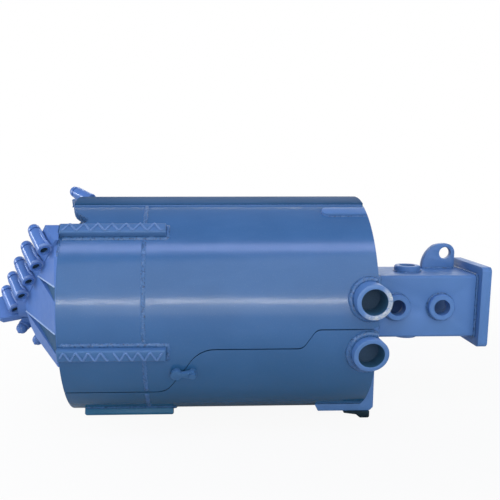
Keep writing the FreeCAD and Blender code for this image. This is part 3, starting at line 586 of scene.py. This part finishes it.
bm = bmesh.new()
seat_angle = math.degrees(math.asin(-split_seat_z / shell_radius))
shell_line(bm, [(ring_length, -seat_angle + 1.0), (ring_length, 180.0 + seat_angle - 1.0)], seam_bead,
           uneven=0.2)
finish_beads(bm, "upper_ring_seam", "upper_shell")

bm = bmesh.new()
for degrees, lean in ((crown_edges[0], -0.4), (crown_edges[1], 0.4)):
    shell_line(bm, [(crown_start + 2.0, degrees + lean), (shell_length - 3.0, degrees + lean)], crown_bead)
finish_beads(bm, "crown_strip_welds", "upper_shell", material=strip_paint)

bm = bmesh.new()
half = math.degrees((pad_half + 2.0) / shell_radius)
shell_line(bm, [(pad_start + 12.0, pad_angle - 0.72 * half), (pad_start + pad_half, pad_angle - half),
                (pad_start + pad_length, pad_angle - half), (pad_start + pad_length + 3.0, pad_angle),
                (pad_start + pad_length, pad_angle + half), (pad_start + pad_half, pad_angle + half),
                (pad_start + 12.0, pad_angle + 0.72 * half), (pad_start - 2.0, pad_angle)],
           pad_bead, closed=True)
finish_beads(bm, "pad_weld", "upper_shell")


def tube_weld(bm, z, side, size):
    """The bead where a hinge tube leaves the shell; it stops at the shell's open end."""
    reach = tube_radius + 0.5 * size[0]
    limit = math.degrees(math.acos((shell_length - 2.0 - hinge_x) / reach))
    path = []
    normals = []
    steps = 56
    for k in range(steps + 1):
        angle = math.radians(limit + (360.0 - 2.0 * limit) * k / steps)
        height_here = z + reach * math.sin(angle)
        depth = math.sqrt(shell_radius ** 2 - height_here ** 2)
        path.append(at(hinge_x + reach * math.cos(angle), side * depth, height_here))
        normals.append(Vector((0.0, side * depth, height_here)).normalized())
    bead(bm, path, normals, *size)


for half_name, body in (("upper", "upper_shell"), ("lower", "lower_shell")):
    bm = bmesh.new()
    for side in (-1.0, 1.0):
        tube_weld(bm, hinge_z[half_name], side, tube_beads[half_name])
    finish_beads(bm, half_name + "_tube_welds", body)


def notch_hardfacing(bm, flip):
    """Short beads across the thickness of the rim notch, on the edge next to the crown."""
    points = [Vector((x, math.radians(angle) * shell_radius, 0.0)) for x, angle in notch_edge]
    spots = paced(points, 8.0)
    for k, spot in enumerate(spots):
        after = spots[min(k + 1, len(spots) - 1)]
        before = spots[max(k - 1, 0)]
        run = (after - before).normalized()
        angle = math.degrees(spot.y / shell_radius)
        into = Vector((-1.0, 0, 0)) * abs(run.y) - onward(angle) * abs(run.x)
        path = [on_shell(spot.x, angle, radius) for radius in notch_depths]
        if flip:
            path = [Vector((point.x, -point.y, point.z)) for point in path]
            into = Vector((into.x, -into.y, into.z))
        bead(bm, path, [into.normalized()] * len(path), *notch_bead)


bm = bmesh.new()
notch_hardfacing(bm, False)
notch_hardfacing(bm, True)
finish_beads(bm, "notch_hardfacing", "upper_shell")

# beads on the lower half
bm = bmesh.new()
for degrees in lower_strips:
    strip_welds(bm, degrees, lower_strip_span)
finish_beads(bm, "lower_strip_welds", "lower_shell")

bm = bmesh.new()
for start, end in ((-seat_angle - 2.0, -63.0), (-73.0, -107.0), (-117.0, -180.0 + seat_angle + 2.0)):
    shell_line(bm, [(ring_length, start), (ring_length, end)], seam_bead, uneven=0.2)
finish_beads(bm, "lower_ring_seam", "lower_shell")


# beads on the drive head
def circle_weld(bm, centre, normal, radius, count=64):
    """A bead round a boss."""
    seat = normal.orthogonal().normalized()
    other = normal.cross(seat)
    path = []
    for k in range(count):
        angle = math.radians(360.0 * k / count)
        path.append(centre + (seat * math.cos(angle) + other * math.sin(angle)) * (radius * 0.001))
    bead(bm, path, [normal] * count, *boss_bead, closed=True)


bm = bmesh.new()
for side in (-1.0, 1.0):
    for x in boss_places:
        circle_weld(bm, at(x, side * box_half, 0), Vector((0, side, 0)), boss_radius + 2.0)
    circle_weld(bm, at(upright_boss_x, 0, side * box_half), Vector((0, 0, side)), boss_radius + 2.0)
finish_beads(bm, "boss_welds", "drive_head")


def box_weld(bm, x, half, size):
    """A bead round the square drive box at one station."""
    path = []
    normals = []
    inner = half - box_corner
    for quarter in range(4):
        start = quarter * 90.0
        face = Vector((0.0, math.cos(math.radians(start)), math.sin(math.radians(start))))
        along = Vector((0.0, -face.z, face.y))
        for spot in paced([Vector((-inner, 0, 0)), Vector((inner, 0, 0))], 6.0):
            path.append(at(x, 0, 0) + (face * half + along * spot.x) * 0.001)
            normals.append(face)
        for k in (1, 2):
            angle = math.radians(start + 30.0 * k)
            corner_way = Vector((0.0, math.cos(angle), math.sin(angle)))
            centre = face * inner + along * inner
            path.append(at(x, 0, 0) + (centre + corner_way * box_corner) * 0.001)
            normals.append(corner_way)
    bead(bm, path, normals, *size, closed=True)


bm = bmesh.new()
box_weld(bm, box_start + 2.0, box_half - 2.0, box_bead)
box_weld(bm, flange_start - 3.0, box_half, flange_bead)
finish_beads(bm, "drive_box_welds", "drive_head")

bm = bmesh.new()
for face, side in ((lug_faces[0], -1.0), (lug_faces[1], 1.0)):
    path = paced([at(lug_span[0] + 2.0, face + side * 2.0, box_half + 1.0),
                  at(lug_span[1] - 2.0, face + side * 2.0, box_half + 1.0)], 0.006)
    bead(bm, path, [Vector((0, side, 1)).normalized()] * len(path), *plate_bead)
finish_beads(bm, "lug_welds", "drive_head")

bm = bmesh.new()
for side in (-1.0, 1.0):
    for face, way in ((cheek_faces[0], -1.0), (cheek_faces[1] - 3.0, 1.0)):
        path = paced([at(head_plate_x - 2.0, side * (face + way * 2.0), end * cheek_weld_reach)
                      for end in (-1.0, 1.0)], 0.006)
        bead(bm, path, [Vector((-1, side * way, 0)).normalized()] * len(path), *plate_bead)
finish_beads(bm, "cheek_welds", "drive_head")


# the holders' welds to the ramps
def tooth_place(index):
    """The rear end of a near holder and the way its tooth points."""
    radius = row_start - row_pitch * index
    rise = head_start - head_slope * (shell_radius - radius) - row_sink
    rear = at(rise, 0, 0) + outward(arm_angle) * (radius * 0.001) + onward(arm_angle) * (row_offset * 0.001)
    attack = math.radians(attack_angle)
    way = onward(arm_angle) * math.cos(attack) - Vector((1, 0, 0)) * math.sin(attack)
    return rear, way


def ramp_weld_points():
    """Where a holder's side meets the ramp: along, aside and below its axis."""
    points = []
    for along, below in ((8.0, 23.8), (18.0, 21.2), (ramp_rise, ramp_sink), (ramp_length - 2.0, ramp_sink)):
        points.append((along, math.sqrt(holder_radius ** 2 - below ** 2) + 1.5, below - 1.5))
    return points


for side_name, turn, count in (("near", 0.0, near_teeth), ("far", math.pi, far_teeth)):
    bm = bmesh.new()
    half_turn = Matrix.Rotation(turn, 4, "X")
    for index in range(count):
        rear, way = tooth_place(index)
        rear = half_turn @ rear
        way = half_turn @ way
        top = (Vector((-1, 0, 0)) - way * -way.x).normalized()
        aside = way.cross(top)
        for sign in (-1.0, 1.0):
            corners = [rear + (way * along + aside * (sign * out) - top * below) * 0.001
                       for along, out, below in ramp_weld_points()]
            path = paced(corners, 0.005)
            bead(bm, path, [(aside * sign + top).normalized()] * len(path), *ramp_bead, uneven=0.2)
        path = []
        normals = []
        for k in range(19):
            angle = math.radians(232.0 + 152.0 * k / 18)
            spoke = aside * math.cos(angle) + top * math.sin(angle)
            path.append(rear + way * 0.004 + spoke * ((holder_radius + 2.0) * 0.001))
            normals.append((spoke - way).normalized())
        bead(bm, path, normals, *collar_bead, uneven=0.05)
    finish_beads(bm, "holder_welds_" + side_name, "upper_shell", material=holder_weld_highlight_paint)


def turned_solid(bm, profile, centre, way, steps=28):
    """A round piece spun from its half outline, given as (radius, height) in millimetres."""
    single = bmesh.new()
    verts = [single.verts.new((radius * 0.001, 0.0, height * 0.001)) for radius, height in profile]
    edges = [single.edges.new(pair) for pair in zip(verts, verts[1:])]
    bmesh.ops.spin(single, geom=verts + edges, axis=(0, 0, 1), cent=(0, 0, 0), dvec=(0, 0, 0),
                   angle=2.0 * math.pi, steps=steps, use_merge=True)
    bmesh.ops.remove_doubles(single, verts=single.verts, dist=0.000001)
    bmesh.ops.recalc_face_normals(single, faces=single.faces)
    turn = way.to_track_quat("Z", "Y").to_matrix().to_4x4()
    bmesh.ops.transform(single, matrix=Matrix.Translation(centre) @ turn, verts=single.verts)
    mesh = bpy.data.meshes.new("turned")
    single.to_mesh(mesh)
    single.free()
    bm.from_mesh(mesh)
    bpy.data.meshes.remove(mesh)


def head_spot(radius, degrees, lift=0.0):
    """A corner of the head plates; at the rim they come down to a thin lip."""
    if radius < shell_radius:
        return on_shell(head_start - head_slope * (shell_radius - radius) + lift, degrees, radius)
    return on_shell(-rim_lip + min(lift, 0.5 * rim_lip), degrees, radius)


# painted shade: dark plugs in the holders' rear bores and dark sheets on the faces of the head's recesses;
# then the welds beside them
bore_shade_edge = bore_radius - 0.4
bore_shade_plug = ((0.0, 5.0), (9.0, 5.6), (bore_shade_edge, 8.0), (bore_shade_edge, 20.0), (0.0, 20.0))
proud = Vector((-0.001 * recess_proud, 0.0, 0.0))
for side_name, turn, count in (("near", 0.0, near_teeth), ("far", math.pi, far_teeth)):
    half_turn = Matrix.Rotation(turn, 4, "X")
    bm = bmesh.new()
    for index in range(count):
        rear, way = tooth_place(index)
        turned_solid(bm, bore_shade_plug, half_turn @ rear, half_turn @ way)
    piece_from(bm, "bore_shade_plugs_" + side_name, "upper_shell", bore_shade_material)

    # thin dark sheets laid over the recess faces: painted shade
    bm = bmesh.new()
    for apex, first, last in recesses:
        corners = [head_spot(*apex, recess_depth), head_spot(shell_radius, first, recess_depth),
                   head_spot(shell_radius, last, recess_depth)]
        face = bm.faces.new([bm.verts.new(half_turn @ (corner + proud)) for corner in corners])
        grown = bmesh.ops.extrude_face_region(bm, geom=[face])["geom"]
        bmesh.ops.translate(bm, verts=[item for item in grown if isinstance(item, bmesh.types.BMVert)],
                            vec=(0.001, 0.0, 0.0))
    bmesh.ops.recalc_face_normals(bm, faces=bm.faces)
    piece_from(bm, "recess_shade_sheets_" + side_name, "upper_shell", recess_shade_paint)

    bm = bmesh.new()
    # the recess seams carry the pale seam paint: painted highlight
    for apex, first, last in recesses:
        path = [half_turn @ spot for spot in paced([head_spot(*apex), head_spot(shell_radius, first)], 0.005)]
        bead(bm, path, [Vector((-1.0, 0.0, 0.0))] * len(path), *recess_bead, uneven=0.12)
    finish_beads(bm, "recess_seams_" + side_name, "upper_shell", material=seam_highlight_paint)

    bm = bmesh.new()
    path = [half_turn @ on_shell(-1.0, degrees, 438.0) for degrees in range(34, 52)]
    bead(bm, path, [Vector((-1.0, 0.0, 0.0))] * len(path), *plate_bead, uneven=0.2)
    path = [half_turn @ on_shell(-4.0, degrees, 450.0) for degrees in (44.5, 46.0, 47.5, 49.0, 50.5, 52.0)]
    bead(bm, path, [half_turn @ outward(upper_strips[0])] * len(path), *corner_bead, uneven=0.1)
    finish_beads(bm, "head_welds_" + side_name, "upper_shell")

# plate edges that the light catches
for node, width in (("drive_box", 3.0), ("drive_flange", 3.0), ("lifting_lug", 3.0), ("head_plate", 2.5),
                    ("cheek_plates", 3.0), ("upper_wear_strips", 2.0), ("lower_wear_strips", 2.0),
                    ("end_brackets", 2.5), ("bracket_feet", 2.5), ("pilot_plate", 3.0),
                    ("crown_strip", 2.0), ("upper_pad", 3.0),
                    ("dog_near", 2.0), ("dog_far", 2.0), ("pin_keepers", 1.5)):
    rounded_copy(node, width)
for node in ("upper_hinge_tubes", "lower_hinge_tubes"):
    rounded_copy(node, 2.0)


# floor and light
def faded(nodes, links, value, near, far, low, high):
    """A value that runs from low to high as the input runs from near to far."""
    node = nodes.new("ShaderNodeMapRange")
    node.inputs["From Min"].default_value = near
    node.inputs["From Max"].default_value = far
    node.inputs["To Min"].default_value = low
    node.inputs["To Max"].default_value = high
    links.new(value, node.inputs["Value"])
    return node.outputs["Result"]


def joint_maths(nodes, links, operation, first, second):
    node = nodes.new("ShaderNodeMath")
    node.operation = operation
    links.new(first, node.inputs[0])
    links.new(second, node.inputs[1])
    return node.outputs["Value"]


def floor_finish():
    """A pale floor that shows white in the view and in reflections further off; it keeps the shadow."""
    material = bpy.data.materials.new("studio_floor")
    material.use_nodes = True
    nodes = material.node_tree.nodes
    links = material.node_tree.links
    shader = nodes["Principled BSDF"]
    shader.inputs["Base Color"].default_value = (0.62, 0.62, 0.63, 1.0)
    shader.inputs["Roughness"].default_value = 0.9
    shader.inputs["Specular IOR Level"].default_value = 0.1
    glow = nodes.new("ShaderNodeEmission")
    rays = nodes.new("ShaderNodeLightPath")
    place = nodes.new("ShaderNodeTexCoord")
    far = nodes.new("ShaderNodeVectorMath")
    far.operation = "LENGTH"
    links.new(place.outputs["Object"], far.inputs[0])
    away = far.outputs["Value"]
    seen = joint_maths(nodes, links, "MAXIMUM", rays.outputs["Is Camera Ray"],
                       rays.outputs["Is Transmission Ray"])
    seen = joint_maths(nodes, links, "MULTIPLY", seen, faded(nodes, links, away, 1.2, 3.2, 0.93, 1.0))
    mirrored = faded(nodes, links, away, 4.0, 9.0, 0.0, 1.0)
    mirrored = joint_maths(nodes, links, "MULTIPLY", rays.outputs["Is Glossy Ray"], mirrored)
    mix = nodes.new("ShaderNodeMixShader")
    links.new(joint_maths(nodes, links, "MAXIMUM", seen, mirrored), mix.inputs["Fac"])
    links.new(shader.outputs["BSDF"], mix.inputs[1])
    links.new(glow.outputs["Emission"], mix.inputs[2])
    links.new(mix.outputs["Shader"], nodes["Material Output"].inputs["Surface"])
    return material


bm = bmesh.new()
bmesh.ops.create_grid(bm, x_segments=1, y_segments=1, size=30.0)
bmesh.ops.translate(bm, verts=bm.verts, vec=(-0.9, 0.0, ground_z * 0.001 - 0.0005))
floor_mesh = bpy.data.meshes.new("floor")
bm.to_mesh(floor_mesh)
bm.free()
floor = bpy.data.objects.new("floor", floor_mesh)
bpy.context.scene.collection.objects.link(floor)
floor_mesh.materials.append(floor_finish())

world = bpy.data.worlds.new("studio")
world.use_nodes = True
bpy.context.scene.world = world
tree = world.node_tree
ambient = tree.nodes["Background"]
ambient.inputs["Color"].default_value = (0.88, 0.96, 1.0, 1.0)
ambient.inputs["Strength"].default_value = 0.34
white = tree.nodes.new("ShaderNodeBackground")
white.inputs["Color"].default_value = (1.0, 1.0, 1.0, 1.0)
white.inputs["Strength"].default_value = 1.0
rays = tree.nodes.new("ShaderNodeLightPath")
height = tree.nodes.new("ShaderNodeSeparateXYZ")
tree.links.new(tree.nodes.new("ShaderNodeTexCoord").outputs["Generated"], height.inputs["Vector"])
wall = faded(tree.nodes, tree.links, height.outputs["Z"], 0.12, 0.22, 1.0, 0.0)
mirrored = joint_maths(tree.nodes, tree.links, "MAXIMUM", rays.outputs["Is Glossy Ray"],
                       rays.outputs["Is Transmission Ray"])
mirrored = joint_maths(tree.nodes, tree.links, "MULTIPLY", mirrored, wall)
choose = tree.nodes.new("ShaderNodeMixShader")
tree.links.new(joint_maths(tree.nodes, tree.links, "MAXIMUM", rays.outputs["Is Camera Ray"], mirrored),
               choose.inputs["Fac"])
tree.links.new(ambient.outputs["Background"], choose.inputs[1])
tree.links.new(white.outputs["Background"], choose.inputs[2])
tree.links.new(choose.outputs["Shader"], tree.nodes["World Output"].inputs["Surface"])


def softbox(name, elevation, heading, distance, long, wide, watts, tint, target=(-0.9, 0.0, 0.0)):
    """A large soft light, aimed at the bucket, by its elevation and heading; heading 0 is the near side."""
    lift = math.radians(elevation)
    swing = math.radians(heading)
    way = Vector((math.sin(swing) * math.cos(lift), -math.cos(swing) * math.cos(lift), math.sin(lift)))
    data = bpy.data.lights.new(name, "AREA")
    data.shape = "RECTANGLE"
    data.size = long
    data.size_y = wide
    data.energy = watts
    data.color = tint
    lamp = bpy.data.objects.new(name, data)
    lamp.location = Vector(target) + way * distance
    lamp.rotation_euler = way.to_track_quat("Z", "Y").to_euler()
    bpy.context.scene.collection.objects.link(lamp)


softbox("overhead_strip", 67.0, 0.0, 4.0, 4.5, 0.64, 50.0, (0.55, 0.6, 1.0))
softbox("front_strip", 12.0, -4.0, 4.5, 4.5, 0.07, 34.0, (1.0, 1.0, 0.94))
softbox("front_fill", 28.0, 16.0, 5.5, 7.0, 6.0, 135.0, (0.95, 0.98, 1.0))
softbox("side_strip", 24.0, -88.0, 2.2, 1.6, 0.24, 27.0, (0.82, 0.87, 1.0), (-1.7, -0.2, 0.0))
softbox("back_softbox", 24.0, 165.0, 5.5, 6.0, 3.0, 90.0, (1.0, 1.0, 1.0))
softbox("back_strip", 46.0, 178.0, 4.5, 4.5, 0.1, 20.0, (1.0, 1.0, 0.94))

# camera
camera_place = Vector((-1.000, -2.7125, 0.5595))
pitch = math.radians(9.37)
yaw = math.radians(1.94)
forward = Vector((math.sin(yaw) * math.cos(pitch), math.cos(yaw) * math.cos(pitch), -math.sin(pitch)))
right = Vector((math.cos(yaw), -math.sin(yaw), 0.0))
up = right.cross(forward)
camera_data = bpy.data.cameras.new("camera")
camera_data.sensor_width = 36.0
camera_data.lens = 46.43
camera_data.shift_x = 0.0604
camera_data.shift_y = 0.052
camera_data.clip_end = 100.0
camera = bpy.data.objects.new("camera", camera_data)
turn = Matrix((right, up, -forward)).transposed().to_4x4()
camera.matrix_world = Matrix.Translation(camera_place) @ turn
bpy.context.scene.collection.objects.link(camera)
bpy.context.scene.camera = camera
bpy.context.scene.view_settings.view_transform = "Standard"
